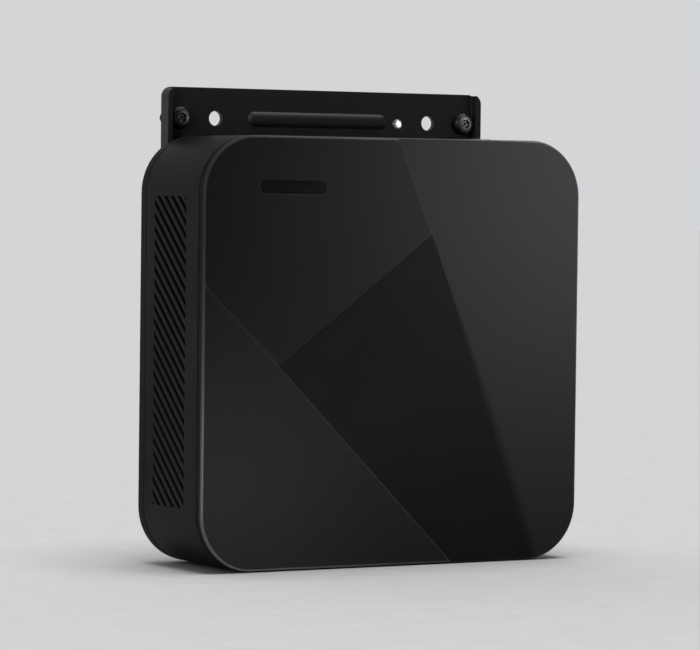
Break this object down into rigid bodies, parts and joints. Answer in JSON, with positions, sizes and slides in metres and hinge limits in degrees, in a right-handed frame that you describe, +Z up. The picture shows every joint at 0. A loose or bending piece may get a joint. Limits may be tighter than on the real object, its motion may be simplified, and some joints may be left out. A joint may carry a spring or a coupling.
{
  "type": "mini computer",
  "caption": "Small square desktop computer with a faceted cover and slotted side vents, hung by keyholes on a flat bracket that bolts to the back of a display.",
  "frame": {"origin": "centre of the bracket's 100 mm bolt square, on the bracket's face that meets the display", "axes": "+Y out of the bracket into the display, +Z up, +X to the right for someone looking at the faceted cover; the cover faces -Y, the front ports face +Z and the rear ports face -Z"},
  "size_m": [0.13, 0.054, 0.1417],
  "materials": {
    "bracket_paint": "fine matt black powder coat",
    "rivet_steel": "bright",
    "black_steel": "black oxide",
    "cover_plastic": "fine satin, charcoal",
    "badge_plastic": "plain dark inlay",
    "housing_plastic": "fine spark-eroded texture",
    "pan_plastic": "fine spark-eroded texture",
    "screw_steel": "zinc plated",
    "foot_rubber": "soft matt",
    "stud_steel": "turned",
    "io_plate": "pressed sheet",
    "board_green": "solder mask",
    "chip_black": "moulded package",
    "copper": "copper plate",
    "fin_aluminium": "thin sheet",
    "blower_plastic": "glass filled",
    "bearing_brass": "sintered",
    "coil_copper": "enamelled wire",
    "rotor_plastic": "satin",
    "cable_black": "sleeved",
    "inductor_grey": "pressed ferrite",
    "socket_ivory": "moulded",
    "board_blue": "solder mask",
    "shield_steel": "tinned can",
    "antenna_brass": "plated foil",
    "cell_steel": "bright",
    "tray_steel": "galvanised sheet",
    "drive_case": "bead blasted",
    "jack_black": "moulded",
    "shell_steel": "nickel plated",
    "lamp_clear": "clear lens",
    "tongue_blue": "moulded",
    "button_plastic": "satin",
    "ring_diffuser": "milky"
  },
  "bodies": {
    "bracket": {"vesa_bracket": "bracket_paint", "bracket_rivet": "rivet_steel", "vesa_screws": "black_steel"},
    "computer": {"faceted_cover": "cover_plastic", "cover_badge": "badge_plastic", "main_housing": "housing_plastic", "base_pan": "pan_plastic", "base_screws": "screw_steel", "rubber_feet": "foot_rubber", "hanger_studs": "stud_steel", "rear_io_plate": "io_plate", "lock_plate": "io_plate", "motherboard": "board_green", "board_screws": "screw_steel", "cpu_package": "chip_black", "heat_spreader": "copper", "spreader_screws": "screw_steel", "heat_pipe": "copper", "fin_stack": "fin_aluminium", "blower_housing": "blower_plastic", "fan_bearing": "bearing_brass", "fan_stator": "coil_copper", "fan_lead": "cable_black", "power_stage": "inductor_grey", "memory_sockets": "socket_ivory", "memory_modules": "board_green", "ssd_socket": "chip_black", "ssd_module": "board_blue", "ssd_screw": "screw_steel", "wifi_module": "shield_steel", "antennas": "antenna_brass", "antenna_leads": "cable_black", "coin_cell": "cell_steel", "coin_cell_holder": "chip_black", "drive_tray": "tray_steel", "tray_screws": "screw_steel", "storage_drive": "drive_case", "drive_cable": "cable_black", "dc_jack": "jack_black", "hdmi_port": "shell_steel", "display_port": "shell_steel", "lan_port": "shell_steel", "lan_lights": "lamp_clear", "usb_stacks": "shell_steel", "usb_front_ports": "shell_steel", "usb_tongues": "tongue_blue", "usb_c_port": "shell_steel", "audio_jack": "jack_black", "card_reader": "shell_steel", "power_light_ring": "ring_diffuser", "power_switch": "chip_black", "status_lens": "ring_diffuser"},
    "fan": {"blower_rotor": "rotor_plastic"},
    "button": {"power_button": "button_plastic"}
  },
  "joints": [
    {"name": "lift_off", "type": "slide", "parent": "bracket", "child": "computer", "axis": [0, 0, 1], "range_m": [0, 0.01]},
    {"name": "fan_spin", "type": "hinge", "parent": "computer", "child": "fan", "pos_m": [-0.021, -0.0232, -0.019], "axis": [0, 1, 0], "continuous": true},
    {"name": "power_press", "type": "slide", "parent": "computer", "child": "button", "axis": [0, 0, -1], "range_m": [0, 0.0008], "stiffness_N_per_m": 400, "springref_m": -0.001}
  ]
}
